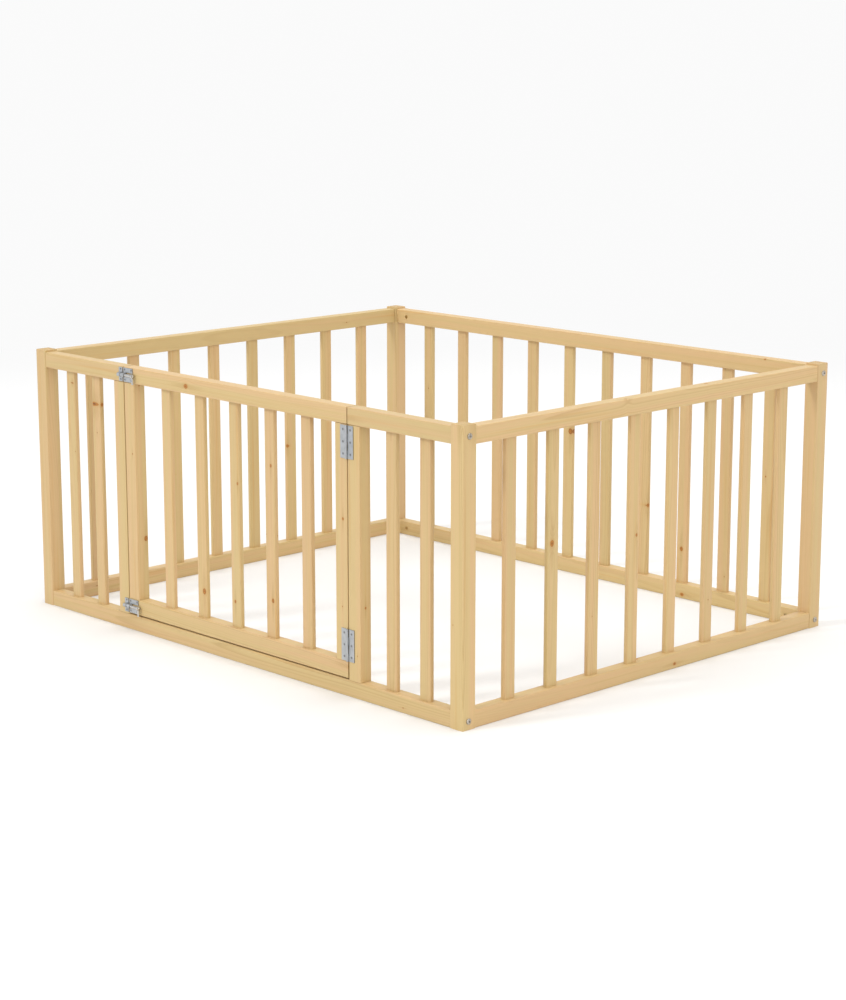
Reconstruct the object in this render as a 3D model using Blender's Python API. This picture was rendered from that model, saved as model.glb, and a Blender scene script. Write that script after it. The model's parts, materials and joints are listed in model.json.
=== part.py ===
"""Free-standing slatted pine pen for a pet, with a hinged gate in its front wall.

Metres, +Z up. The pen stands on z = 0, centred on x = 0 and y = 0. Its front wall, with the gate,
faces -Y. The gate hangs on two butt hinges at its right-hand stile and closes with two barrel bolts.
"""

from math import cos, pi, sin

import bmesh
import bpy
from mathutils import Matrix, Vector

# ---- overall sizes -------------------------------------------------------------------------------
PEN_WIDTH = 1.548
PEN_DEPTH = 1.268
PEN_HEIGHT = 0.670
GATE_WIDTH = 0.812

# ---- timber sections -----------------------------------------------------------------------------
POST_PROUD = 0.005
RAIL_HEIGHT = 0.039
RAIL_THICKNESS = 0.033
RAIL_SETBACK = 0.0015
RAIL_INNER_SETBACK = 0.0045
STILE_WIDTH = 0.039
SLAT_WIDTH = 0.034
SLAT_THICKNESS = 0.012
TIMBER_ROUND = 0.002
SLAT_ROUND = 0.003
POST_EASING = 0.0015
ROUND_STEPS = 2

# ---- how many slats each wall has ----------------------------------------------------------------
SIDE_SLATS = 8
BACK_SLATS = 10
FRONT_SLATS = 2
GATE_SLATS = 5

# ---- joints and clearances -----------------------------------------------------------------------
FIT = 0.0003
MORTISE_DEPTH = 0.008
GATE_SIDE_GAP = 0.003
GATE_FLOOR_GAP = 0.003

# ---- corner bolts and their barrel nuts ----------------------------------------------------------
BOLT_RADIUS = 0.003
BOLT_HEAD_RADIUS = 0.007
BOLT_HEAD_HEIGHT = 0.0034
BOLT_RIM = 0.0008
HEX_SOCKET_WIDTH = 0.004
HEX_SOCKET_DEPTH = 0.0022
BOLT_PAST_NUT = 0.004
NUT_RADIUS = 0.005
NUT_PAST_BOLT = 0.0045
NUT_INSET = 0.001
NUT_FROM_RAIL_END = 0.039
NUT_SLOT_WIDTH = 0.0014
NUT_SLOT_DEPTH = 0.0012
BORE_CLEARANCE = 0.0005

# ---- butt hinges ---------------------------------------------------------------------------------
HINGE_LENGTH = 0.075
HINGE_OPEN_WIDTH = 0.042
HINGE_LEAF_THICKNESS = 0.0012
HINGE_FROM_RAIL = 0.002
KNUCKLE_RADIUS = 0.0029
KNUCKLE_GAP = 0.0003
KNUCKLES = 4
PIN_RADIUS = 0.0014
PIN_CLEARANCE = 0.0002
PIN_HEAD_RADIUS = 0.0024
PIN_HEAD_HEIGHT = 0.0008
LEAF_KNUCKLE_CLEARANCE = 0.0008
HINGE_SCREW_FROM_END = 0.010
HINGE_SCREW_FROM_EDGE = 0.009

# ---- barrel bolts (latches) ----------------------------------------------------------------------
LATCH_MARGIN = 0.002
LATCH_PLATE_WIDTH = 0.036
LATCH_THICKNESS = 0.0012
LATCH_EDGE_SETBACK = 0.0005
LATCH_CORNER = 0.0015
KEEPER_WIDTH = 0.0145
LOOP_WIDTH = 0.0105
ROD_RADIUS = 0.0038
ROD_LENGTH = 0.046
ROD_BEHIND = 0.0024
ROD_IN_LOOP = 0.0004
NOTCH_AROUND_COLLAR = 0.0003
HANDLE_RADIUS = 0.0026
HANDLE_LENGTH = 0.021
HANDLE_FROM_ROD_END = 0.0045
HANDLE_COLLAR_WIDTH = 0.0064
HANDLE_COLLAR_THICKNESS = 0.0011
LATCH_SCREW_FROM_EDGE = 0.005

# ---- countersunk holes for the wood screws -------------------------------------------------------
COUNTERSINK_RADIUS = 0.0032
SCREW_HOLE_RADIUS = 0.0018
COUNTERSINK_DEPTH = 0.0010
SCREW_HOLE_SIDES = 16

ROUND_SIDES = 20

# ---- places worked out from the sizes above ------------------------------------------------------
POST_SIZE = RAIL_SETBACK + RAIL_THICKNESS + RAIL_INNER_SETBACK
NUT_LENGTH = RAIL_THICKNESS / 2 - NUT_INSET + NUT_PAST_BOLT
LATCH_HEIGHT = RAIL_HEIGHT - 2 * LATCH_MARGIN
ROD_STANDOFF = ROD_RADIUS + ROD_BEHIND
COLLAR_RADIUS = ROD_RADIUS + FIT + HANDLE_COLLAR_THICKNESS
NOTCH_HEIGHT = 2 * (COLLAR_RADIUS + NOTCH_AROUND_COLLAR)
LATCH_PROJECTION = ROD_STANDOFF + ROD_RADIUS + ROD_IN_LOOP + LATCH_THICKNESS - RAIL_SETBACK
CENTRE_Y = LATCH_PROJECTION / 2
RAIL_TOP = PEN_HEIGHT - POST_PROUD
TOP_RAIL_Z = RAIL_TOP - RAIL_HEIGHT / 2
BOTTOM_RAIL_Z = RAIL_HEIGHT / 2
POST_X = PEN_WIDTH / 2 - POST_SIZE / 2
FRONT_POST_Y = CENTRE_Y - PEN_DEPTH / 2 + POST_SIZE / 2
BACK_POST_Y = CENTRE_Y + PEN_DEPTH / 2 - POST_SIZE / 2
INSIDE_WIDTH = PEN_WIDTH - 2 * POST_SIZE
INSIDE_DEPTH = PEN_DEPTH - 2 * POST_SIZE
SIDE_WALL_X = PEN_WIDTH / 2 - RAIL_SETBACK - RAIL_THICKNESS / 2
FRONT_FACE_Y = CENTRE_Y - PEN_DEPTH / 2 + RAIL_SETBACK
FRONT_WALL_Y = FRONT_FACE_Y + RAIL_THICKNESS / 2
BACK_WALL_Y = CENTRE_Y + PEN_DEPTH / 2 - RAIL_SETBACK - RAIL_THICKNESS / 2
GATE_HALF = GATE_WIDTH / 2
GATE_BOTTOM = RAIL_HEIGHT + GATE_FLOOR_GAP
GATE_LOW_RAIL_Z = GATE_BOTTOM + RAIL_HEIGHT / 2
STUB_END_X = GATE_HALF + GATE_SIDE_GAP
STILE_X = STUB_END_X + STILE_WIDTH / 2
HINGE_X = GATE_HALF + GATE_SIDE_GAP / 2
HINGE_Y = FRONT_FACE_Y - FIT - KNUCKLE_RADIUS
HINGE_HIGH_Z = RAIL_TOP - RAIL_HEIGHT - HINGE_FROM_RAIL - HINGE_LENGTH / 2
HINGE_LOW_Z = GATE_BOTTOM + RAIL_HEIGHT + HINGE_FROM_RAIL + HINGE_LENGTH / 2
LATCH_EDGE_X = -GATE_HALF + LATCH_EDGE_SETBACK
KEEPER_EDGE_X = -STUB_END_X - LATCH_EDGE_SETBACK
LOOP_RADIUS = ROD_RADIUS + ROD_IN_LOOP
ROD_Y = FRONT_FACE_Y - ROD_STANDOFF

# Turns a solid made along local Z so that it runs along a world axis. Local X becomes the
# across-the-wall direction of a rail along X or Y, and local Y becomes up.
ALONG = {
    "X": Matrix(((0, 0, 1), (1, 0, 0), (0, 1, 0))).to_4x4(),
    "Y": Matrix(((-1, 0, 0), (0, 0, 1), (0, 1, 0))).to_4x4(),
    "Z": Matrix.Identity(4),
}


# ---- materials -----------------------------------------------------------------------------------
def make_material(name, colour, roughness, metallic):
    material = bpy.data.materials.new(name)
    material.use_nodes = True
    shader = material.node_tree.nodes["Principled BSDF"]
    shader.inputs["Base Color"].default_value = (*colour, 1.0)
    shader.inputs["Roughness"].default_value = roughness
    shader.inputs["Metallic"].default_value = metallic
    return material


def make_materials():
    return {
        "pine": make_material("pine", (0.73, 0.55, 0.31), 0.55, 0.0),
        "zinc": make_material("zinc", (0.60, 0.62, 0.65), 0.38, 1.0),
        "steel": make_material("steel", (0.66, 0.65, 0.62), 0.25, 1.0),
        "brass": make_material("brass", (0.62, 0.47, 0.22), 0.35, 1.0),
    }


# ---- outlines and basic solids -------------------------------------------------------------------
def rounded_rectangle(width, height, radius):
    """Points of a rectangle with round corners, anticlockwise, centred on the origin."""
    points = []
    for corner, (side_x, side_y) in enumerate(((1, 1), (-1, 1), (-1, -1), (1, -1))):
        centre = Vector((side_x * (width / 2 - radius), side_y * (height / 2 - radius)))
        for step in range(ROUND_STEPS + 1):
            angle = (corner + step / ROUND_STEPS) * pi / 2
            points.append(centre + radius * Vector((cos(angle), sin(angle))))
    return points


def prism(points, length, solid=None, centre=(0, 0)):
    """A closed prism on the outline, centred on z = 0, in a new bmesh or added to one."""
    solid = solid or bmesh.new()
    low = [solid.verts.new((p.x + centre[0], p.y + centre[1], -length / 2)) for p in points]
    base = solid.faces.new(list(reversed(low)))
    moved = bmesh.ops.extrude_face_region(solid, geom=[base], use_keep_orig=True)
    top = [item for item in moved["geom"] if isinstance(item, bmesh.types.BMVert)]
    bmesh.ops.translate(solid, verts=top, vec=(0, 0, length))
    bmesh.ops.recalc_face_normals(solid, faces=solid.faces)
    return solid


def lathe(profile, sides=ROUND_SIDES, solid=None, centre=(0, 0)):
    """A closed solid turned about local Z from (radius, z) points that start and end on its axis."""
    solid = solid or bmesh.new()
    rings = []
    for radius, z in profile:
        if radius == 0:
            rings.append([solid.verts.new((*centre, z))])
            continue
        turns = [2 * pi * side / sides for side in range(sides)]
        points = [(centre[0] + radius * cos(a), centre[1] + radius * sin(a), z) for a in turns]
        rings.append([solid.verts.new(point) for point in points])
    for lower, upper in zip(rings, rings[1:]):
        for side in range(sides):
            after = (side + 1) % sides
            corners = [lower[side % len(lower)], lower[after % len(lower)]]
            corners += [upper[after % len(upper)], upper[side % len(upper)]]
            solid.faces.new(list(dict.fromkeys(corners)))
    bmesh.ops.recalc_face_normals(solid, faces=solid.faces)
    return solid


def cylinder(radius, length, sides=ROUND_SIDES):
    half = length / 2
    return lathe([(0, -half), (radius, -half), (radius, half), (0, half)], sides)


def box(size):
    solid = bmesh.new()
    bmesh.ops.create_cube(solid, size=1)
    bmesh.ops.scale(solid, verts=solid.verts, vec=size)
    return solid


# ---- objects and Booleans ------------------------------------------------------------------------
def add_object(name, solid, material, place, turn=ALONG["Z"]):
    """Put a bmesh in the scene as an object with its origin at a place."""
    mesh = bpy.data.meshes.new(name)
    solid.to_mesh(mesh)
    solid.free()
    made = bpy.data.objects.new(name, mesh)
    bpy.context.scene.collection.objects.link(made)
    made.matrix_world = Matrix.Translation(place) @ turn
    if material:
        mesh.materials.append(material)
    return made


def add_tool(name, solid, place, turn=ALONG["Z"]):
    """A solid that only cuts another one or is welded to it."""
    tool = add_object(name, solid, None, place, turn)
    tool.hide_render = True
    tool.display_type = "WIRE"
    return tool


def combine(target, tool, operation):
    modifier = target.modifiers.new(operation.lower() + "_" + tool.name, "BOOLEAN")
    modifier.operation = operation
    modifier.solver = "EXACT"
    modifier.object = tool


def cut(target, tool):
    combine(target, tool, "DIFFERENCE")


def weld(target, tool):
    combine(target, tool, "UNION")


# ---- timber --------------------------------------------------------------------------------------
def rail(name, material, length, along, place):
    """A horizontal rail with eased long edges."""
    outline = rounded_rectangle(RAIL_THICKNESS, RAIL_HEIGHT, TIMBER_ROUND)
    return add_object(name, prism(outline, length), material, place, ALONG[along])


def stile(name, material, bottom, top, x):
    """An upright of the front wall or the gate, between two heights."""
    outline = rounded_rectangle(STILE_WIDTH, RAIL_THICKNESS, TIMBER_ROUND)
    place = (x, FRONT_WALL_Y, (bottom + top) / 2)
    return add_object(name, prism(outline, top - bottom), material, place)


def evenly_spaced(start, end, count):
    """Centres of a wall's slats, with the same gap between each two and at both ends."""
    gap = (end - start - count * SLAT_WIDTH) / (count + 1)
    return [start + gap + SLAT_WIDTH / 2 + number * (gap + SLAT_WIDTH) for number in range(count)]


def slat_outline(along, grow=0):
    across, face = SLAT_THICKNESS + 2 * grow, SLAT_WIDTH + 2 * grow
    sizes = (face, across) if along == "X" else (across, face)
    return rounded_rectangle(*sizes, SLAT_ROUND + grow)


def slat_row(along, centres, bottom, top, grow=0):
    """All of a wall's slats, or the mortises for them, in one bmesh centred on their height."""
    solid = bmesh.new()
    for centre in centres:
        spot = (centre, 0) if along == "X" else (0, centre)
        prism(slat_outline(along, grow), top - bottom, solid, spot)
    return solid


def mortise(target, along, centres, bottom, top, line):
    """Cut the pockets that slat ends sit in. line is the wall's (x, y), with 0 along the wall."""
    solid = slat_row(along, centres, bottom, top, FIT)
    cut(target, add_tool(target.name + "_mortises", solid, (*line, (bottom + top) / 2)))


def plain_wall(name, material, along, length, line, middle, count):
    """A top rail, and a bottom rail with the wall's slats glued into it as one comb."""
    place = (line, middle) if along == "Y" else (middle, line)
    rail_length = length - 2 * FIT
    top_rail = rail(name + "_top_rail", material, rail_length, along, (*place, TOP_RAIL_Z))
    comb = rail(name + "_bottom_rail_and_slats", material, rail_length, along, (*place, BOTTOM_RAIL_Z))
    centres = evenly_spaced(-length / 2, length / 2, count)
    pocket_top = RAIL_TOP - RAIL_HEIGHT + MORTISE_DEPTH
    slat_bottom = RAIL_HEIGHT - MORTISE_DEPTH
    slats = slat_row(along, centres, slat_bottom, pocket_top - FIT)
    weld(comb, add_tool(name + "_slats", slats, (*place, (slat_bottom + pocket_top - FIT) / 2)))
    mortise(top_rail, along, centres, RAIL_TOP - RAIL_HEIGHT - MORTISE_DEPTH, pocket_top, place)
    return top_rail, comb


def loose_slats(name, material, centres, low_rail_top, high_rail_bottom):
    """Separate slats of the front wall or the gate, each end in a mortise."""
    bottom = low_rail_top - MORTISE_DEPTH + FIT
    top = high_rail_bottom + MORTISE_DEPTH - FIT
    made = []
    for number, x in enumerate(centres, start=1):
        solid = prism(slat_outline("X"), top - bottom)
        place = (x, FRONT_WALL_Y, (bottom + top) / 2)
        made.append(add_object(f"{name}_slat_{number}", solid, material, place))
    return made


def pocket_heights(rail_face, upward):
    """Bottom and top of a mortise cutter that goes into a rail from its face, up or down."""
    inner = rail_face + MORTISE_DEPTH if upward else rail_face - MORTISE_DEPTH
    outer = rail_face - MORTISE_DEPTH if upward else rail_face + MORTISE_DEPTH
    return min(inner, outer), max(inner, outer)


def make_posts(material):
    posts = {}
    for end, y in (("front", FRONT_POST_Y), ("back", BACK_POST_Y)):
        for side, sign in (("left", -1), ("right", 1)):
            outline = rounded_rectangle(POST_SIZE, POST_SIZE, TIMBER_ROUND)
            solid = prism(outline, PEN_HEIGHT)
            top_edges = [e for e in solid.edges if min(v.co.z for v in e.verts) > 0]
            bmesh.ops.bevel(solid, geom=top_edges, offset=POST_EASING, segments=1, affect="EDGES")
            place = (sign * POST_X, y, PEN_HEIGHT / 2)
            posts[end, side] = add_object(f"post_{end}_{side}", solid, material, place)
    return posts


def make_front(material):
    """The sill, and on each side of the gate a stub of top rail, a stile and slats."""
    sill = rail("front_sill", material, INSIDE_WIDTH - 2 * FIT, "X", (0, FRONT_WALL_Y, BOTTOM_RAIL_Z))
    stub_length = INSIDE_WIDTH / 2 - FIT - STUB_END_X
    outer = INSIDE_WIDTH / 2
    inner = STILE_X + STILE_WIDTH / 2
    under_rail = RAIL_TOP - RAIL_HEIGHT
    bays = []
    stubs = {}
    for side, sign in (("left", -1), ("right", 1)):
        stub_x = sign * (STUB_END_X + stub_length / 2)
        stub = rail(f"front_top_rail_{side}", material, stub_length, "X", (stub_x, FRONT_WALL_Y, TOP_RAIL_Z))
        stile(f"front_stile_{side}", material, RAIL_HEIGHT + FIT, under_rail - FIT, sign * STILE_X)
        centres = sorted(sign * c for c in evenly_spaced(inner, outer, FRONT_SLATS))
        loose_slats(f"front_{side}", material, centres, RAIL_HEIGHT, under_rail)
        mortise(stub, "X", centres, *pocket_heights(under_rail, True), (0, FRONT_WALL_Y))
        bays += centres
        stubs[side] = stub
    mortise(sill, "X", bays, *pocket_heights(RAIL_HEIGHT, False), (0, FRONT_WALL_Y))
    return sill, stubs


def make_gate_frame(material):
    """The gate's rails run its full width, with the stiles and slats between them."""
    low_rail = rail("gate_bottom_rail", material, GATE_WIDTH, "X", (0, FRONT_WALL_Y, GATE_LOW_RAIL_Z))
    high_rail = rail("gate_top_rail", material, GATE_WIDTH, "X", (0, FRONT_WALL_Y, TOP_RAIL_Z))
    bottom, top = GATE_BOTTOM + RAIL_HEIGHT, RAIL_TOP - RAIL_HEIGHT
    made = [low_rail, high_rail]
    for side, sign in (("latch", -1), ("hinge", 1)):
        x = sign * (GATE_HALF - STILE_WIDTH / 2)
        made.append(stile(f"gate_stile_{side}_side", material, bottom + FIT, top - FIT, x))
    clear = GATE_HALF - STILE_WIDTH
    centres = evenly_spaced(-clear, clear, GATE_SLATS)
    made += loose_slats("gate", material, centres, bottom, top)
    mortise(low_rail, "X", centres, *pocket_heights(bottom, False), (0, FRONT_WALL_Y))
    mortise(high_rail, "X", centres, *pocket_heights(top, True), (0, FRONT_WALL_Y))
    return made


# ---- corner bolts --------------------------------------------------------------------------------
def bolt_solid():
    """A flanged furniture bolt along Z, with its head's underside at z = 0 and its shank below."""
    length = POST_SIZE + FIT + NUT_FROM_RAIL_END + NUT_RADIUS + BOLT_PAST_NUT
    profile = [(0, -length), (BOLT_RADIUS, -length), (BOLT_RADIUS, 0), (BOLT_HEAD_RADIUS, 0)]
    profile.append((BOLT_HEAD_RADIUS, BOLT_RIM))
    for step in range(1, 5):
        angle = step * pi / 8
        rise = BOLT_RIM + (BOLT_HEAD_HEIGHT - BOLT_RIM) * sin(angle)
        profile.append((BOLT_HEAD_RADIUS * cos(angle) if step < 4 else 0, rise))
    return lathe(profile)


def nut_solid():
    """A barrel nut along Z, with its slotted face at z = 0 and its body below."""
    return lathe([(0, -NUT_LENGTH), (NUT_RADIUS, -NUT_LENGTH), (NUT_RADIUS, 0), (0, 0)])


def bolt_joint(end, level, side, z, wall_y, post, rail_end, materials):
    """One bolt through a post into a rail's end, and the barrel nut that it screws into."""
    sign = 1 if side == "right" else -1
    inward = 1 if end == "front" else -1
    label = f"{end}_{level}_{side}"
    outward = Matrix.Rotation(sign * pi / 2, 4, "Y")
    head_place = (sign * (PEN_WIDTH / 2 + FIT), wall_y, z)
    bolt = add_object("bolt_" + label, bolt_solid(), materials["steel"], head_place, outward)
    socket = cylinder(HEX_SOCKET_WIDTH / 2 / cos(pi / 6), 2 * HEX_SOCKET_DEPTH, 6)
    socket_x = sign * (PEN_WIDTH / 2 + FIT + BOLT_HEAD_HEIGHT)
    cut(bolt, add_tool(label + "_socket", socket, (socket_x, wall_y, z), outward))

    nut_x = sign * (INSIDE_WIDTH / 2 - FIT - NUT_FROM_RAIL_END)
    face_y = wall_y + inward * (RAIL_THICKNESS / 2 - NUT_INSET)
    face_turn = Matrix.Rotation(-inward * pi / 2, 4, "X")
    nut = add_object("barrel_nut_" + label, nut_solid(), materials["brass"], (nut_x, face_y, z), face_turn)
    slot = box((2 * NUT_RADIUS + FIT, 2 * NUT_SLOT_DEPTH, NUT_SLOT_WIDTH))
    cut(nut, add_tool(label + "_slot", slot, (nut_x, face_y, z)))

    bore_start = INSIDE_WIDTH / 2 - NUT_FROM_RAIL_END - NUT_RADIUS - 2 * BOLT_PAST_NUT
    bore_length = PEN_WIDTH / 2 + BOLT_HEAD_HEIGHT - bore_start
    bore = cylinder(BOLT_RADIUS + BORE_CLEARANCE, bore_length)
    bore_x = sign * (bore_start + bore_length / 2)
    bore_tool = add_tool(label + "_bore", bore, (bore_x, wall_y, z), ALONG["X"])
    for pierced in (post, rail_end, nut):
        cut(pierced, bore_tool)
    hole_length = 2 * (NUT_LENGTH + NUT_INSET + BORE_CLEARANCE)
    hole = cylinder(NUT_RADIUS + FIT, hole_length)
    hole_y = wall_y + inward * RAIL_THICKNESS / 2
    cut(rail_end, add_tool(label + "_nut_hole", hole, (nut_x, hole_y, z), ALONG["Y"]))


def make_corner_bolts(materials, posts, sill, stubs, back):
    back_top_rail, back_comb = back
    for side in ("left", "right"):
        front_post, back_post = posts["front", side], posts["back", side]
        bolt_joint("front", "top", side, TOP_RAIL_Z, FRONT_WALL_Y, front_post, stubs[side], materials)
        bolt_joint("front", "low", side, BOTTOM_RAIL_Z, FRONT_WALL_Y, front_post, sill, materials)
        bolt_joint("back", "top", side, TOP_RAIL_Z, BACK_WALL_Y, back_post, back_top_rail, materials)
        bolt_joint("back", "low", side, BOTTOM_RAIL_Z, BACK_WALL_Y, back_post, back_comb, materials)


# ---- hinges --------------------------------------------------------------------------------------
def cut_screw_holes(plate, thickness, centre, spots):
    """Countersunk holes through a plate on the front wall, at (x, z) spots about its centre (x, z)."""
    past = thickness
    mouth = COUNTERSINK_RADIUS + past * (COUNTERSINK_RADIUS - SCREW_HOLE_RADIUS) / COUNTERSINK_DEPTH
    profile = [(0, -thickness - past), (SCREW_HOLE_RADIUS, -thickness - past)]
    profile += [(SCREW_HOLE_RADIUS, -COUNTERSINK_DEPTH), (mouth, past), (0, past)]
    holes = bmesh.new()
    for spot in spots:
        lathe(profile, SCREW_HOLE_SIDES, holes, spot)
    place = (centre[0], FRONT_FACE_Y - FIT - thickness, centre[1])
    out_of_wall = Matrix.Rotation(pi / 2, 4, "X")
    cut(plate, add_tool(plate.name + "_screw_holes", holes, place, out_of_wall))


def hinge_leaf(name, material, z, sign, own_knuckles):
    """One leaf, on the gate (sign -1) or the fixed stile (sign 1), with its share of the knuckles."""
    plate_y = FRONT_FACE_Y - FIT - HINGE_LEAF_THICKNESS / 2
    half = HINGE_OPEN_WIDTH / 2
    plate = box((half, HINGE_LEAF_THICKNESS, HINGE_LENGTH))
    leaf = add_object(name, plate, material, (HINGE_X + sign * half / 2, plate_y, z))
    spread = HINGE_LENGTH / 2 - HINGE_SCREW_FROM_END
    spots = [(sign * (half - HINGE_SCREW_FROM_EDGE), height) for height in (-spread, 0, spread)]
    cut_screw_holes(leaf, HINGE_LEAF_THICKNESS, (HINGE_X, z), spots)
    pitch = HINGE_LENGTH / KNUCKLES
    for number in range(KNUCKLES):
        knuckle_z = z + HINGE_LENGTH / 2 - (number + 0.5) * pitch
        place = (HINGE_X, HINGE_Y, knuckle_z)
        if number in own_knuckles:
            solid = cylinder(KNUCKLE_RADIUS, pitch - KNUCKLE_GAP)
            weld(leaf, add_tool(f"{name}_knuckle_{number}", solid, place))
        else:
            reach = 2 * (KNUCKLE_RADIUS + LEAF_KNUCKLE_CLEARANCE)
            solid = box((reach, 2 * reach, pitch + KNUCKLE_GAP))
            cut(leaf, add_tool(f"{name}_clearance_{number}", solid, place))
    bore = cylinder(PIN_RADIUS + PIN_CLEARANCE, 2 * HINGE_LENGTH)
    cut(leaf, add_tool(name + "_bore", bore, (HINGE_X, HINGE_Y, z)))
    return leaf


def hinge_pin(name, material, z):
    end = HINGE_LENGTH / 2 + KNUCKLE_GAP
    tip = end + PIN_HEAD_HEIGHT
    profile = [(0, -tip), (PIN_HEAD_RADIUS * 0.7, -tip), (PIN_HEAD_RADIUS, -end), (PIN_RADIUS, -end)]
    profile += [(radius, -height) for radius, height in reversed(profile)]
    return add_object(name, lathe(profile), material, (HINGE_X, HINGE_Y, z))


def make_hinges(material):
    """Counting from the top, the gate's leaves hold knuckles 1 and 3 and the fixed leaves 2 and 4."""
    gate_leaves = []
    for level, z in (("top", HINGE_HIGH_Z), ("low", HINGE_LOW_Z)):
        gate_leaves.append(hinge_leaf(f"hinge_{level}_gate_leaf", material, z, -1, (0, 2)))
        hinge_leaf(f"hinge_{level}_fixed_leaf", material, z, 1, (1, 3))
        hinge_pin(f"hinge_{level}_pin", material, z)
    return gate_leaves


# ---- latches -------------------------------------------------------------------------------------
def loop_outline():
    """An arch over the rod in (y, z), from half way into the plate. -y points out of the wall."""
    root = FIT + LATCH_THICKNESS / 2
    outer, inner = LOOP_RADIUS + LATCH_THICKNESS, LOOP_RADIUS
    steps = ROUND_SIDES // 2
    angles = [pi * step / steps for step in range(steps + 1)]
    points = [Vector((-root, outer))]
    points += [Vector((-ROD_STANDOFF - outer * sin(a), outer * cos(a))) for a in angles]
    points += [Vector((-root, -outer)), Vector((-root, -inner))]
    points += [Vector((-ROD_STANDOFF - inner * sin(a), inner * cos(a))) for a in reversed(angles)]
    points.append(Vector((-root, inner)))
    return points


def latch_plate(name, material, edge_x, inward, width, z, screw_columns):
    """A plate with a loop at its gate-gap edge. inward is the sign of x away from the gap."""
    outline = rounded_rectangle(width, LATCH_HEIGHT, LATCH_CORNER)
    plate_y = FRONT_FACE_Y - FIT - LATCH_THICKNESS / 2
    place = (edge_x + inward * width / 2, plate_y, z)
    plate = add_object(name, prism(outline, LATCH_THICKNESS), material, place, ALONG["Y"])
    loop = prism(loop_outline(), LOOP_WIDTH)
    loop_x = edge_x + inward * (LOOP_WIDTH / 2 + FIT)
    weld(plate, add_tool(name + "_loop", loop, (loop_x, FRONT_FACE_Y, z), ALONG["X"]))
    rise = LATCH_HEIGHT / 2 - LATCH_SCREW_FROM_EDGE
    spots = [(x, height) for x in screw_columns for height in (-rise, rise)]
    cut_screw_holes(plate, LATCH_THICKNESS, (place[0], z), spots)
    return plate


def rod_solid():
    """The sliding rod along Z, with a round tip at its upper end and an eased lower end."""
    half, easing = ROD_LENGTH / 2, 0.3 * ROD_RADIUS
    profile = [(0, -half), (ROD_RADIUS - easing, -half), (ROD_RADIUS, -half + easing)]
    for step in range(5):
        angle = step * pi / 8
        rise = half - ROD_RADIUS + ROD_RADIUS * sin(angle)
        profile.append((ROD_RADIUS * cos(angle) if step < 4 else 0, rise))
    return lathe(profile)


def add_handle(name, material, place):
    """A collar on the rod with a stubby bar hanging from it. Its origin is on the rod's axis."""
    handle = add_object(name, cylinder(COLLAR_RADIUS, HANDLE_COLLAR_WIDTH), material, place, ALONG["X"])
    easing = 0.3 * HANDLE_RADIUS
    profile = [(0, -HANDLE_LENGTH), (HANDLE_RADIUS - easing, -HANDLE_LENGTH)]
    profile += [(HANDLE_RADIUS, -HANDLE_LENGTH + easing), (HANDLE_RADIUS, 0), (0, 0)]
    weld(handle, add_tool(name + "_bar", lathe(profile), place))
    bore = cylinder(ROD_RADIUS + FIT, 2 * HANDLE_COLLAR_WIDTH)
    cut(handle, add_tool(name + "_bore", bore, place, ALONG["X"]))
    return handle


def make_latch(level, z, materials):
    """A barrel bolt: plate and rod on the gate, keeper on the fixed frame. At rest it is drawn back."""
    zinc, steel = materials["zinc"], materials["steel"]
    column = LATCH_PLATE_WIDTH / 2 - LATCH_SCREW_FROM_EDGE
    plate = latch_plate(
        f"latch_{level}_plate", zinc, LATCH_EDGE_X, 1, LATCH_PLATE_WIDTH, z, (-column, column)
    )
    notch_length = LATCH_PLATE_WIDTH - LOOP_WIDTH - FIT
    notch = box((notch_length, 4 * LATCH_THICKNESS, NOTCH_HEIGHT))
    notch_x = LATCH_EDGE_X + LATCH_PLATE_WIDTH - notch_length / 2 + FIT
    cut(plate, add_tool(f"latch_{level}_notch", notch, (notch_x, FRONT_FACE_Y, z)))
    latch_plate(f"latch_{level}_keeper", zinc, KEEPER_EDGE_X, -1, KEEPER_WIDTH, z, (0,))
    rod_x = LATCH_EDGE_X + ROD_LENGTH / 2
    rod_turn = Matrix.Rotation(-pi / 2, 4, "Y")
    rod = add_object(f"latch_{level}_rod", rod_solid(), steel, (rod_x, ROD_Y, z), rod_turn)
    handle_x = LATCH_EDGE_X + ROD_LENGTH - HANDLE_FROM_ROD_END
    handle = add_handle(f"latch_{level}_handle", steel, (handle_x, ROD_Y, z))
    return [plate, rod, handle]


# ---- the whole pen -------------------------------------------------------------------------------
def hang_on_hinge_axis(pieces):
    """Parent the gate's pieces to an empty that stands on the hinge axis."""
    axis = bpy.data.objects.new("gate_hinge_axis", None)
    bpy.context.scene.collection.objects.link(axis)
    axis.location = (HINGE_X, HINGE_Y, 0)
    back_to_world = Matrix.Translation(axis.location).inverted()
    for piece in pieces:
        piece.parent = axis
        piece.matrix_parent_inverse = back_to_world


def main():
    for leftover in list(bpy.data.objects):
        bpy.data.objects.remove(leftover, do_unlink=True)
    materials = make_materials()
    pine = materials["pine"]
    posts = make_posts(pine)
    plain_wall("left", pine, "Y", INSIDE_DEPTH, -SIDE_WALL_X, CENTRE_Y, SIDE_SLATS)
    plain_wall("right", pine, "Y", INSIDE_DEPTH, SIDE_WALL_X, CENTRE_Y, SIDE_SLATS)
    back = plain_wall("back", pine, "X", INSIDE_WIDTH, BACK_WALL_Y, 0, BACK_SLATS)
    sill, stubs = make_front(pine)
    make_corner_bolts(materials, posts, sill, stubs, back)
    gate = make_gate_frame(pine)
    gate += make_hinges(materials["zinc"])
    gate += make_latch("top", TOP_RAIL_Z, materials)
    gate += make_latch("low", GATE_LOW_RAIL_Z, materials)
    hang_on_hinge_axis(gate)


main()
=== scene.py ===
"""Looks for the slatted pine pet pen: grained timber, plated hardware, wood screws, floor and light."""

import json
import random
from math import cos, pi, radians, sin

import bmesh
import bpy
from mathutils import Matrix, Vector

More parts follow.
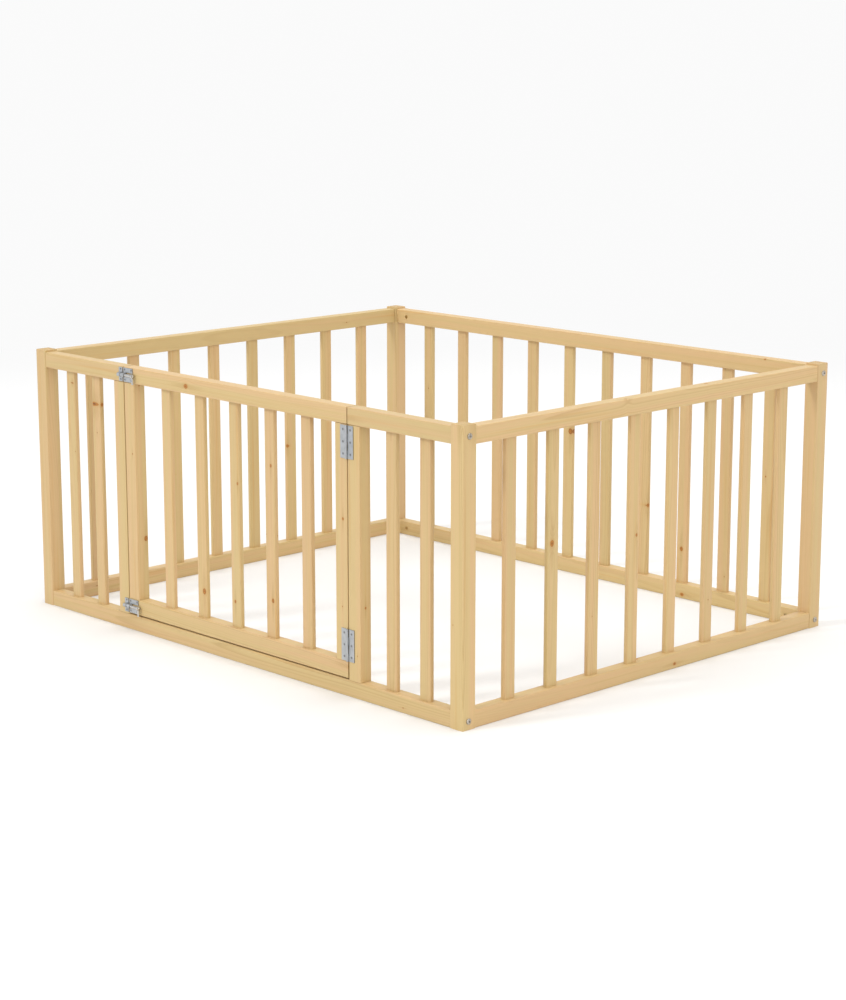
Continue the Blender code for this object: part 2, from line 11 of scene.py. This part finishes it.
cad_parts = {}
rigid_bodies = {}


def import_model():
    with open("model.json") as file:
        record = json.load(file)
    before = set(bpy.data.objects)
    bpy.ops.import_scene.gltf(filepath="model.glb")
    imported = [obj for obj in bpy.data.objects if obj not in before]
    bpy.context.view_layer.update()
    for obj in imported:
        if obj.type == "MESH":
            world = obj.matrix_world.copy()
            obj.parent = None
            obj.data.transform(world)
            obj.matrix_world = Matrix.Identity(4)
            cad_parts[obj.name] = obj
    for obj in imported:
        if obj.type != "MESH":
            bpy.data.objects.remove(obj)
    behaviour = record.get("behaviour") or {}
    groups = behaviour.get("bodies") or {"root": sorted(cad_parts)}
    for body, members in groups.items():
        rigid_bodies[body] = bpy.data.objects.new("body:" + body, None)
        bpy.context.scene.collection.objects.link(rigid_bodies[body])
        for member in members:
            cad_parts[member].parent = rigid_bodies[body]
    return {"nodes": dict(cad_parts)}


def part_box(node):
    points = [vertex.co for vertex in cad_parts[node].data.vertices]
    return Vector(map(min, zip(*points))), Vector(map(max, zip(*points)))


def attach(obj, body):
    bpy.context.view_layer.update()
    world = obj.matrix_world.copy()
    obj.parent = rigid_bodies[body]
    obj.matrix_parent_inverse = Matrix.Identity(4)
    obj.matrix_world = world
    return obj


for leftover in list(bpy.data.objects):
    bpy.data.objects.remove(leftover, do_unlink=True)

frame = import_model()
bpy.context.view_layer.update()
NODES = frame["nodes"]

# ---- sizes that the timber is laid out by, in metres ---------------------------------------------
RAIL_HEIGHT = 0.039
SLAT_WIDTH = 0.034
SLAT_THICKNESS = 0.012
COMB_SLATS = {"left": 8, "right": 8, "back": 10}
ABOVE_RAIL = 0.00005

# ---- how the timber grew, in metres, each as its least and its most -------------------------------
RING_WIDTHS = (0.0022, 0.0052)
PITH_DISTANCES = (0.014, 0.070)
KNOT_RADII = (0.0010, 0.0060)

# ---- wood screws, which sit in the countersunk holes of the hinges and latches -------------------
PLATE_THICKNESS = 0.0012
HEAD_RADIUS = 0.00255
HEAD_SINK = 0.0003
HEAD_RIM = 0.0001
HEAD_CONE_DEPTH = 0.00075
CROWN_RISE = 0.0002
NECK_RADIUS = 0.0015
NECK_DEPTH = 0.0016
CROWN_STEPS = 5
RECESS_LENGTH = 0.0030
RECESS_WIDTH = 0.0007
RECESS_DEPTH = 0.0005
RECESS_TAPER = 0.45
SCREW_SIDES = 32
HINGE_SCREW_FROM_END = 0.010
HINGE_SCREW_FROM_EDGE = 0.009
LATCH_SCREW_FROM_EDGE = 0.005

# ---- colours of the wood -------------------------------------------------------------------------
STRAW = (0.588, 0.436, 0.202)
BLUSH = (0.620, 0.420, 0.212)
OLIVE = (0.522, 0.358, 0.132)
LATE_WOOD = (0.400, 0.240, 0.076)
AMBER = (0.575, 0.335, 0.105)
KNOT_HEART = (0.500, 0.190, 0.020)
KNOT_DARK = (0.150, 0.042, 0.006)
END_TINT = (0.410, 0.273, 0.123)

# ---- surfaces ------------------------------------------------------------------------------------
PINE_BUMP = 0.30
PINE_BUMP_DEPTH = 0.0004
METAL_BUMP_DEPTH = 0.0002
SAME_POINT = 0.000002
SHARP_EDGE = radians(50)


# ---- shader building -----------------------------------------------------------------------------
class Value:
    """A number in a node tree. Sums and products of it add Math nodes."""

    def __init__(self, graph, socket):
        self.graph, self.socket = graph, socket

    def __add__(self, other):
        return self.graph.math("ADD", self, other)

    def __sub__(self, other):
        return self.graph.math("SUBTRACT", self, other)

    def __rsub__(self, other):
        return self.graph.math("SUBTRACT", other, self)

    def __mul__(self, other):
        return self.graph.math("MULTIPLY", self, other)

    def __truediv__(self, other):
        return self.graph.math("DIVIDE", self, other)

    def __pow__(self, other):
        return self.graph.math("POWER", self, other)

    def span(self, low, high, out_low=0.0, out_high=1.0, kind="SMOOTHSTEP"):
        """Rescale low..high to out_low..out_high, and hold it there outside them."""
        inputs = {0: self, 1: low, 2: high, 3: out_low, 4: out_high}
        return Value(self.graph, self.graph.add("ShaderNodeMapRange", inputs, interpolation_type=kind)[0])

    def between(self, low, high):
        """Spread a number from 0 to 1 evenly over low..high."""
        return self.span(0.0, 1.0, low, high, "LINEAR")


class Graph:
    """Adds nodes to one node tree. Inputs are Values, sockets or plain values."""

    def __init__(self, tree):
        self.tree = tree

    def add(self, kind, inputs=None, **settings):
        """Add a node and return its outputs."""
        node = self.tree.nodes.new(kind)
        for name, value in settings.items():
            setattr(node, name, value)
        for key, value in (inputs or {}).items():
            self.feed(node.inputs[key], value)
        return node.outputs

    def feed(self, socket, value):
        if isinstance(value, Value):
            value = value.socket
        if isinstance(value, bpy.types.NodeSocket):
            self.tree.links.new(value, socket)
        elif socket.type == "RGBA" and len(value) == 3:
            socket.default_value = (*value, 1.0)
        else:
            socket.default_value = value

    def math(self, operation, *values):
        return Value(self, self.add("ShaderNodeMath", dict(enumerate(values)), operation=operation)[0])

    def length(self, one, two):
        return self.math("SQRT", one * one + two * two)

    def largest(self, first, *others):
        for other in others:
            first = self.math("MAXIMUM", first, other)
        return first

    def split(self, vector):
        return [Value(self, part) for part in self.add("ShaderNodeSeparateXYZ", {0: vector})]

    def join(self, *parts):
        return self.add("ShaderNodeCombineXYZ", dict(enumerate(parts)))[0]

    def mix(self, factor, one, two):
        return self.add("ShaderNodeMix", {0: factor, 6: one, 7: two}, data_type="RGBA")[2]

    def choose(self, factor, one, two):
        return self.add("ShaderNodeMix", {0: factor, 4: one, 5: two}, data_type="VECTOR")[1]

    def noise(self, place, scales, detail=2.0, roughness=0.5, seed=None):
        """Noise about 0, with its own number of features per metre on each axis."""
        where = self.add("ShaderNodeVectorMath", {0: place, 1: scales}, operation="MULTIPLY")[0]
        inputs = {"Vector": where, "Scale": 1.0, "Detail": detail, "Roughness": roughness}
        if seed is not None:
            inputs["W"] = seed * 3.17
        kind = "3D" if seed is None else "4D"
        return Value(self, self.add("ShaderNodeTexNoise", inputs, noise_dimensions=kind)[0]) - 0.5

    def chance(self, value, offset=0.0):
        """Three numbers from 0 to 1 that change with each value of the input."""
        drawn = self.add("ShaderNodeTexWhiteNoise", {"W": value + offset}, noise_dimensions="1D")
        return self.split(drawn["Color"])


# ---- pine ----------------------------------------------------------------------------------------
def add_knots(graph, along, across, through, half, seed, cell, odds, offset):
    """Branches that run through the board, at most one in each cell of its length.

    Gives the distance from the nearest branch in branch radii, the same for the streak that runs
    along the grain from it, the radius, how dark the branch and its bark ring are, and 1 where there
    is a branch.
    """
    index = graph.math("FLOOR", along / cell + offset)
    key = index * 7.31 + seed * 1.93 + offset
    spot, side, size = graph.chance(key)
    present, lean, point = graph.chance(key, 0.47)
    middle = (index + spot.between(0.25, 0.75) - offset) * cell
    radius = (size ** 2.3).between(*KNOT_RADII)
    run = (along - middle) * 0.80
    off = across - (side - 0.5) * half * 1.5 - (lean - 0.5) * through * 0.8
    squared = graph.length(run, off)
    pointed = (graph.math("ABSOLUTE", run) + graph.math("ABSOLUTE", off)) * 0.86
    blend = (point ** 3.0).between(0.0, 0.6)
    distance = (pointed * blend + squared * (1.0 - blend)) / radius
    streak = graph.length(run * 0.13, off) / radius
    dull = graph.largest(radius.span(0.0024, 0.0012) * 0.5, lean * 0.35)
    bark = side.between(0.15, 0.9)
    return distance, streak, radius, dull, bark, graph.math("LESS_THAN", present, odds)


def make_pine_group():
    """Growth rings about a pith line beside the board, bent round knots, with streaks and fibre."""
    group = bpy.data.node_groups.new("pine_board", "ShaderNodeTree")
    taken = {"Place": "Vector", "Half Size": "Vector", "Seed": "Float", "End Grain": "Float"}
    for name, kind in taken.items():
        group.interface.new_socket(name, in_out="INPUT", socket_type="NodeSocket" + kind)
    for name, kind in {"Color": "Color", "Roughness": "Float", "Height": "Float"}.items():
        group.interface.new_socket(name, in_out="OUTPUT", socket_type="NodeSocket" + kind)
    graph = Graph(group)
    given = graph.add("NodeGroupInput")
    place = given["Place"]
    seed, end_grain = Value(graph, given["Seed"]), Value(graph, given["End Grain"])
    along, across, through = graph.split(place)
    _, half_across, half_through = graph.split(given["Half Size"])

    turn, far, tilt_across = graph.chance(seed)
    tilt_through, spread, tone_of_board = graph.chance(seed, 0.61)
    turn, far = turn * (2 * pi), far.between(*PITH_DISTANCES)
    off_across = across - far * graph.math("COSINE", turn) - (tilt_across - 0.5) * along * 0.05
    off_through = through - far * graph.math("SINE", turn) - (tilt_through - 0.5) * along * 0.05

    ragged = graph.noise(place, (260, 260, 260), detail=1.5, seed=seed)
    swirl = heart = dark = halo = tail = None
    # Knots on the two pairs of faces: where across and how deep, the half size across, then the
    # length of a cell, the odds of a knot in it and where the cells start.
    families = (
        (across, through, half_across, 0.27, 0.27, 0.13),
        (through, across, half_through, 0.35, 0.21, 0.71),
    )
    for side, depth, half, cell, odds, offset in families:
        knots = add_knots(graph, along, side, depth, half, seed, cell, odds, offset)
        distance, streak, radius, dull, bark, there = knots
        distance = distance + ragged * 0.35
        bend = graph.math("EXPONENT", distance ** 1.5 * -0.20) * there * radius * 1.8
        inside = distance.span(1.25, 0.95) * there
        rim = distance.span(1.18, 1.02) * distance.span(0.66, 0.90) * bark
        pith = distance.span(0.62, 0.15) * (1.25 - bark)
        mottle = (ragged + 0.1).span(0.0, 0.25) * 0.45
        tone = graph.largest(rim, pith, dull, mottle) * inside
        glow = distance.span(2.3, 1.0) * there
        trail = (streak + ragged * 0.8).span(1.7, 0.4) * there
        if swirl is None:
            swirl, heart, dark, halo, tail = bend, inside, tone, glow, trail
        else:
            swirl = swirl + bend
            heart = graph.largest(heart, inside)
            dark = graph.largest(dark, tone)
            halo = graph.largest(halo, glow)
            tail = graph.largest(tail, trail)

    sway = graph.noise(place, (2.0, 7, 7), detail=1.0, seed=seed) * 0.018
    quiver = graph.noise(place, (9, 60, 60), detail=2.0, seed=seed) * 0.0011
    from_pith = graph.length(off_across, off_through) + sway + quiver + swirl
    ring = from_pith / spread.between(*RING_WIDTHS)
    phase = graph.math("FRACT", ring)
    late = phase.span(0.35, 0.90) * phase.span(1.0, 0.91)
    year = graph.chance(graph.math("FLOOR", ring) + seed * 5.7)[0]
    figure, ruddy, _ = graph.chance(seed, 1.37)
    late = late * (year ** 1.8).between(0.12, 1.0) * (figure ** 1.6).between(0.22, 1.1)

    band = graph.noise(place, (1.1, 55, 55), detail=2.0, seed=seed) + (ruddy - 0.5) * 0.20
    stripe = graph.noise(place, (1.7, 170, 170), detail=2.0, seed=seed).span(0.02, 0.26)
    amber = graph.noise(place, (2.4, 120, 120), detail=1.0, seed=seed + 3.0).span(0.08, 0.30)
    fibre = graph.noise(place, (18, 1000, 1000), detail=2.0, roughness=0.6, seed=seed)
    pores = graph.noise(place, (45, 1500, 1500), detail=0.0, seed=seed).span(0.20, 0.34)
    wood = graph.mix(band.span(-0.16, 0.16), STRAW, BLUSH)
    wood = graph.mix(stripe * 0.42, wood, OLIVE)
    wood = graph.mix(amber * 0.55, wood, AMBER)
    wood = graph.mix(late * 0.52, wood, LATE_WOOD)
    wood = graph.mix(pores * 0.14, wood, LATE_WOOD)
    wood = graph.mix(halo * 0.42, wood, AMBER)
    wood = graph.mix(tail * 0.32, wood, LATE_WOOD)
    wood = graph.mix(heart * 0.92, wood, KNOT_HEART)
    wood = graph.mix(dark * 0.88, wood, KNOT_DARK)
    wood = graph.mix(end_grain * 0.45, wood, END_TINT)
    bright = fibre * 0.11 + (tone_of_board - 0.5) * 0.06 + 1.0
    wood = graph.add("ShaderNodeHueSaturation", {"Value": bright, "Color": wood})[0]

    result = group.nodes.new("NodeGroupOutput").inputs
    graph.feed(result["Color"], wood)
    graph.feed(result["Roughness"], fibre * 0.20 - late * 0.06 + end_grain * 0.2 + 0.47)
    graph.feed(result["Height"], fibre * 0.5 + late * 0.3 - dark * 0.4 - pores * 0.3)
    return group


PINE_GROUP = make_pine_group()


def new_material(name):
    material = bpy.data.materials.new(name)
    material.use_nodes = True
    return material, Graph(material.node_tree)


def finish_shader(graph, shade, roughness, height, strength, depth, **constants):
    """Feed the tree's Principled shader. The constants go straight on its own sockets."""
    shader = graph.tree.nodes["Principled BSDF"]
    bump = graph.add("ShaderNodeBump", {"Height": height, "Strength": strength, "Distance": depth})
    for name, value in (("Base Color", shade), ("Roughness", roughness), ("Normal", bump[0])):
        graph.feed(shader.inputs[name], value)
    for name, value in constants.items():
        shader.inputs[name.replace("_", " ")].default_value = value


def board_place(graph, world, axes, centre):
    """A place as its distances along, across and through a board from the board's middle."""
    moved = graph.add("ShaderNodeVectorMath", {0: world, 1: centre}, operation="SUBTRACT")[0]
    parts = graph.split(moved)
    return graph.join(*(parts[axis] for axis in axes))


def faces_along(graph, axis):
    """1 on a surface that faces along a world axis of the rest pose, and 0 on one beside it."""
    normal = graph.add("ShaderNodeTexCoord")["Normal"]
    return graph.math("ABSOLUTE", graph.split(normal)[axis]).span(0.75, 0.95)


def wear_pine(graph, place, half, seed, end_grain):
    """Give a material the look of the pine group, for the board that the place is measured in."""
    inputs = {"Place": place, "Half Size": half, "Seed": seed, "End Grain": end_grain}
    pine = graph.add("ShaderNodeGroup", inputs, node_tree=PINE_GROUP)
    shade, roughness, height = pine["Color"], pine["Roughness"], pine["Height"]
    bump = (height, PINE_BUMP, PINE_BUMP_DEPTH)
    finish_shader(graph, shade, roughness, *bump, Specular_IOR_Level=0.4)


def board_axes(size):
    """A straight board's axes, as its longest side, its wider side and its thickness."""
    return sorted(range(3), key=lambda axis: -size[axis])


def board_material(name, seed, low, high):
    """Pine for one straight board."""
    material, graph = new_material("pine_" + name)
    world = graph.add("ShaderNodeTexCoord")["Object"]
    size = high - low
    axes = board_axes(size)
    half = tuple(size[axis] / 2 for axis in axes)
    place = board_place(graph, world, axes, (low + high) / 2)
    wear_pine(graph, place, half, seed, faces_along(graph, axes[0]))
    return material


def comb_material(name, seed, low, high, run, count):
    """Pine for a wall's bottom rail and the slats that stand in it: each slat is its own board."""
    material, graph = new_material("pine_" + name)
    world = graph.add("ShaderNodeTexCoord")["Object"]
    centre = (low + high) / 2
    length, thickness = high[run] - low[run], (high - low)[1 - run]
    gap = (length - count * SLAT_WIDTH) / (count + 1)
    pitch = gap + SLAT_WIDTH
    rail_place = board_place(graph, world, (run, 2, 1 - run), (centre.x, centre.y, RAIL_HEIGHT / 2))
    parts = graph.split(world)
    steps = (parts[run] - (low[run] + gap / 2)) / pitch
    number = graph.math("FLOOR", steps)
    along_wall = (steps - number - 0.5) * pitch
    slat_place = graph.join(parts[2] - RAIL_HEIGHT, along_wall, parts[1 - run] - centre[1 - run])
    is_slat = graph.math("GREATER_THAN", parts[2], RAIL_HEIGHT + ABOVE_RAIL)
    rail_half = (length / 2, RAIL_HEIGHT / 2, thickness / 2)
    slat_half = (high.z / 2, SLAT_WIDTH / 2, SLAT_THICKNESS / 2)
    place = graph.choose(is_slat, rail_place, slat_place)
    half = graph.choose(is_slat, rail_half, slat_half)
    own_seed = (number + 3.0) * is_slat + seed
    wear_pine(graph, place, half, own_seed, faces_along(graph, run) * (1.0 - is_slat))
    return material


# ---- metals --------------------------------------------------------------------------------------
def metal_material(name, base, shadow, roughness, grain, bump, recess=None):
    """Plated or turned metal: a faint cloudy tint, fine handling marks and a little bump.

    recess is an object axis and two places along it. Between them the metal turns dull and dark: the dark
    is painted shade, as if the countersinks and cut edges lay in shadow.
    """
    material, graph = new_material(name)
    place = graph.add("ShaderNodeTexCoord")["Object"]
    cloud = graph.noise(place, (90, 90, 90), detail=3.0)
    marks = graph.noise(place, grain, detail=2.0, roughness=0.65)
    speck = graph.noise(place, (1700, 1700, 1700), detail=1.0)
    shade = graph.mix((cloud + marks * 0.5).span(-0.35, 0.30), shadow, base)
    rough = cloud * 0.12 + marks * 0.10 + roughness
    if recess:
        axis, start, end = recess
        # Painted shade: past these places along the axis the metal is darkened almost to black, as if in
        # shadow.
        inside = graph.split(place)[axis].span(start, end)
        shade = graph.mix(inside * 0.9, shade, RECESS_PAINTED_SHADE)
        rough = rough + inside * 0.25
    height = marks * 0.5 + speck * 0.5
    finish_shader(graph, shade, rough, height, bump, METAL_BUMP_DEPTH, Metallic=1.0)
    return material


# Painted shade: a near-black colour, and the depths below the plate's face and below the screw head's rim.
# Past those depths the countersinks, cut edges and screw rims are darkened as if in shadow.
RECESS_PAINTED_SHADE = (0.060, 0.058, 0.060)
PLATE_FACE_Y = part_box("hinge_top_gate_leaf")[1][1] - PLATE_THICKNESS
ZINC_PAINTED_SHADE_DEPTHS = (1, PLATE_FACE_Y + 0.00010, PLATE_FACE_Y + 0.00045)
SCREW_PAINTED_SHADE_DEPTHS = (2, -HEAD_SINK - 0.00002, -HEAD_SINK - 0.00020)
ZINC = metal_material(
    "zinc_plate_with_painted_recess_shade", (0.51, 0.53, 0.55), (0.40, 0.42, 0.44), 0.42, (900, 900, 90), 0.10, ZINC_PAINTED_SHADE_DEPTHS
)
STEEL = metal_material(
    "bright_steel_finish", (0.66, 0.65, 0.63), (0.50, 0.49, 0.48), 0.26, (60, 700, 700), 0.08
)
# Painted shade: the screw steel is darkened well below the plates' zinc so that the heads read like
# shadowed countersinks.
SCREW_STEEL_PAINTED_SHADE = metal_material(
    "screw_steel_painted_shade", (0.30, 0.30, 0.31), (0.20, 0.20, 0.21), 0.34, (500, 500, 500), 0.08, SCREW_PAINTED_SHADE_DEPTHS
)
# Painted reflection: the bolt steel is tinted warm brown, standing in for the pine it reflects.
BOLT_STEEL_PAINTED_REFLECTION = metal_material(
    "bolt_steel_painted_wood_reflection", (0.58, 0.53, 0.46), (0.30, 0.27, 0.23), 0.28, (500, 500, 500), 0.10
)
BRASS = metal_material(
    "brass_finish", (0.66, 0.50, 0.24), (0.42, 0.30, 0.14), 0.32, (600, 600, 600), 0.12
)


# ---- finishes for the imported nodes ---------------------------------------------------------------
def smooth_group():
    """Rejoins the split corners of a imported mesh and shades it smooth, apart from its real edges."""
    group = bpy.data.node_groups.new("shade_round_parts", "GeometryNodeTree")
    group.interface.new_socket("Geometry", in_out="INPUT", socket_type="NodeSocketGeometry")
    group.interface.new_socket("Geometry", in_out="OUTPUT", socket_type="NodeSocketGeometry")
    graph = Graph(group)
    given = graph.add("NodeGroupInput")[0]
    bare = graph.add("GeometryNodeRemoveAttribute", {0: given, "Name": "custom_normal"})[0]
    merged = graph.add("GeometryNodeMergeByDistance", {0: bare, "Distance": SAME_POINT})[0]
    faces = graph.add("GeometryNodeSetShadeSmooth", {0: merged, "Shade Smooth": True}, domain="FACE")[0]
    angle = graph.add("GeometryNodeInputMeshEdgeAngle")[0]
    soft = graph.add("FunctionNodeCompare", {0: angle, 1: SHARP_EDGE}, operation="LESS_THAN")[0]
    edges = graph.add("GeometryNodeSetShadeSmooth", {0: faces, "Shade Smooth": soft}, domain="EDGE")[0]
    graph.feed(group.nodes.new("NodeGroupOutput").inputs[0], edges)
    return group


def finish_nodes():
    """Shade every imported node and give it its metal, or pine of its own."""
    smooth = smooth_group()
    plain = {"zinc_plate": ZINC, "bright_steel": STEEL, "brass": BRASS}
    for seed, (name, node) in enumerate(sorted(NODES.items()), start=3):
        shade = node.modifiers.new("shade_round_parts", "NODES")
        shade.node_group = smooth
        flat = node.modifiers.new("keep_flats_flat", "WEIGHTED_NORMAL")
        flat.keep_sharp = True
        slot_name = node.data.materials[0].name
        low, high = (Vector(corner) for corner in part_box(name))
        # The bolts take the steel that carries a painted reflection of the pine.
        if name.startswith("bolt_"):
            material = BOLT_STEEL_PAINTED_REFLECTION
        elif slot_name in plain:
            material = plain[slot_name]
        elif name.endswith("_and_slats"):
            wall = name.split("_")[0]
            run = 0 if wall == "back" else 1
            material = comb_material(name, 17.0 * seed, low, high, run, COMB_SLATS[wall])
        else:
            material = board_material(name, float(seed), low, high)
        for slot in node.material_slots:
            slot.link = "OBJECT"
            slot.material = material


# ---- wood screws ---------------------------------------------------------------------------------
def mesh_object(name, made):
    mesh = bpy.data.meshes.new(name)
    made.to_mesh(mesh)
    made.free()
    item = bpy.data.objects.new(name, mesh)
    bpy.context.scene.collection.objects.link(item)
    return item


def lathe(profile, sides):
    """A closed solid turned about Z from (radius, z) points that start and end on the axis."""
    made = bmesh.new()
    rings = []
    for radius, z in profile:
        if radius == 0:
            rings.append([made.verts.new((0, 0, z))])
            continue
        turns = (2 * pi * side / sides for side in range(sides))
        rings.append([made.verts.new((radius * cos(a), radius * sin(a), z)) for a in turns])
    for lower, upper in zip(rings, rings[1:]):
        for side in range(sides):
            after = (side + 1) % sides
            corners = [lower[side % len(lower)], lower[after % len(lower)]]
            corners += [upper[after % len(upper)], upper[side % len(upper)]]
            made.faces.new(list(dict.fromkeys(corners)))
    bmesh.ops.recalc_face_normals(made, faces=made.faces)
    return made


def screw_mesh():
    """A countersunk screw's head and neck, with a cross recess. The plate's face is at z = 0."""
    neck_top = HEAD_SINK + HEAD_RIM + HEAD_CONE_DEPTH
    profile = [(0, -NECK_DEPTH), (NECK_RADIUS, -NECK_DEPTH), (NECK_RADIUS, -neck_top)]
    profile.append((HEAD_RADIUS, -HEAD_SINK - HEAD_RIM))
    for step in range(CROWN_STEPS + 1):
        angle = step * pi / 2 / CROWN_STEPS
        radius = HEAD_RADIUS * cos(angle) if step < CROWN_STEPS else 0
        profile.append((radius, CROWN_RISE * sin(angle) - HEAD_SINK))
    head = mesh_object("screw_head", lathe(profile, SCREW_SIDES))
    cutters = []
    for turn in (0, pi / 2):
        made = bmesh.new()
        bmesh.ops.create_cube(made, size=1)
        bmesh.ops.scale(made, verts=made.verts, vec=(RECESS_LENGTH, RECESS_WIDTH, 2 * RECESS_DEPTH))
        for vert in made.verts:
            if vert.co.z < 0:
                vert.co.x *= RECESS_TAPER
        cutter = mesh_object("screw_recess", made)
        crown = Matrix.Translation((0, 0, CROWN_RISE - HEAD_SINK))
        cutter.matrix_world = crown @ Matrix.Rotation(turn, 4, "Z")
        cutters.append(cutter)
        carve = head.modifiers.new("recess", "BOOLEAN")
        carve.object, carve.solver = cutter, "EXACT"
    bpy.context.view_layer.update()
    result = bpy.data.meshes.new_from_object(head.evaluated_get(bpy.context.evaluated_depsgraph_get()))
    for scrap in (head, *cutters):
        bpy.data.objects.remove(scrap, do_unlink=True)
    result.materials.clear()
    result.materials.append(SCREW_STEEL_PAINTED_SHADE)
    return result


def add_screw(name, mesh, body, x, z, face_y, turn):
    """One screw facing out of the front wall, its cross turned by an angle of its own."""
    item = bpy.data.objects.new(name, mesh.copy())
    bpy.context.scene.collection.objects.link(item)
    out_of_wall = Matrix.Rotation(pi / 2, 4, "X")
    item.matrix_world = Matrix.Translation((x, face_y, z)) @ out_of_wall @ Matrix.Rotation(turn, 4, "Z")
    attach(item, body)


def add_screws():
    """Three in each hinge leaf, four in each latch plate and two in each keeper."""
    mesh = screw_mesh()
    turns = random.Random(7)
    rows = []
    for level in ("top", "low"):
        for leaf, body in (("gate", "gate"), ("fixed", "pen")):
            node = f"hinge_{level}_{leaf}_leaf"
            low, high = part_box(node)
            inset = HINGE_SCREW_FROM_EDGE
            across = low[0] + inset if leaf == "gate" else high[0] - inset
            ends = (low[2] + HINGE_SCREW_FROM_END, high[2] - HINGE_SCREW_FROM_END)
            rows.append((node, body, [across], [ends[0], sum(ends) / 2, ends[1]]))
        for piece, body in (("plate", "gate"), ("keeper", "pen")):
            node = f"latch_{level}_{piece}"
            low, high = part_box(node)
            inset = LATCH_SCREW_FROM_EDGE
            sides = [low[0] + inset, high[0] - inset]
            if piece == "keeper":
                sides = [(low[0] + high[0]) / 2]
            rows.append((node, body, sides, [low[2] + inset, high[2] - inset]))
    for node, body, across, heights in rows:
        face_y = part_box(node)[1][1] - PLATE_THICKNESS
        spots = [(x, z) for x in across for z in heights]
        for number, (x, z) in enumerate(spots, start=1):
            add_screw(f"{node}_screw_{number}", mesh, body, x, z, face_y, turns.uniform(0, pi))


# ---- floor, light and camera ---------------------------------------------------------------------
FLOOR_SHADE = (0.80, 0.80, 0.797)
HORIZON_STRENGTH = 0.96
ZENITH_STRENGTH = 0.62
FLOOR_RADIUS = 40.0
FADE_START, FADE_END = 1.5, 5.0
# Each light's name, where it shines from, its width in degrees, its strength and its colour.
LIGHTS = (
    ("key", (-1.6, -4.4, 3.8), 12, 1.05, (0.97, 0.98, 1.0)),
    ("side", (4.6, -1.4, 2.4), 30, 0.62, (1.0, 0.92, 0.80)),
    ("overhead", (0.3, 0.6, 4.2), 40, 1.50, (1.0, 1.0, 1.0)),
)
CAMERA_AZIMUTH = radians(46)
CAMERA_ELEVATION = radians(12)
CAMERA_DISTANCE = 6.0
CAMERA_LENS = 85.0
CAMERA_TARGET = (0, 0, 0.30)


def add_floor():
    """A floor that fades into the background as it gets further from the pen."""
    made = bmesh.new()
    bmesh.ops.create_circle(made, cap_ends=True, segments=96, radius=FLOOR_RADIUS)
    floor = mesh_object("studio_floor", made)
    material, graph = new_material("studio_floor")
    shader = graph.tree.nodes["Principled BSDF"]
    for name, value in (("Base Color", FLOOR_SHADE), ("Roughness", 0.8), ("Specular IOR Level", 0.1)):
        graph.feed(shader.inputs[name], value)
    x, y, _ = graph.split(graph.add("ShaderNodeTexCoord")["Object"])
    fade = graph.length(x, y).span(FADE_START, FADE_END)
    sky = graph.add("ShaderNodeEmission", {"Strength": HORIZON_STRENGTH})[0]
    surface = graph.add("ShaderNodeMixShader", {0: fade, 1: shader.outputs[0], 2: sky})[0]
    graph.feed(graph.tree.nodes["Material Output"].inputs["Surface"], surface)
    floor.data.materials.append(material)


def aim(item, place, target):
    item.location = place
    item.rotation_euler = (Vector(target) - Vector(place)).to_track_quat("-Z", "Y").to_euler()
    bpy.context.scene.collection.objects.link(item)


def add_studio():
    """A white surround, dimmer overhead than at the horizon, and the lights."""
    world = bpy.data.worlds.new("studio")
    bpy.context.scene.world = world
    world.use_nodes = True
    graph = Graph(world.node_tree)
    height = graph.split(graph.add("ShaderNodeTexCoord")["Generated"])[2]
    strength = height.span(0.12, 0.75, HORIZON_STRENGTH, ZENITH_STRENGTH)
    background = world.node_tree.nodes["Background"].inputs
    graph.feed(background["Color"], (1.0, 1.0, 1.0))
    graph.feed(background["Strength"], strength)
    for name, place, spread, strength, colour in LIGHTS:
        light = bpy.data.lights.new(name, "SUN")
        light.angle = radians(spread)
        light.energy = strength
        light.color = colour
        aim(bpy.data.objects.new(name, light), place, (0, 0, 0))


def add_camera():
    camera = bpy.data.objects.new("camera", bpy.data.cameras.new("camera"))
    camera.data.lens = CAMERA_LENS
    target = Vector(CAMERA_TARGET)
    flat = cos(CAMERA_ELEVATION)
    direction = Vector((flat * sin(CAMERA_AZIMUTH), -flat * cos(CAMERA_AZIMUTH), sin(CAMERA_ELEVATION)))
    aim(camera, target + CAMERA_DISTANCE * direction, target)
    bpy.context.scene.camera = camera


finish_nodes()
add_screws()
add_floor()
add_studio()
add_camera()
bpy.context.scene.view_settings.view_transform = "Standard"

bpy.context.view_layer.update()
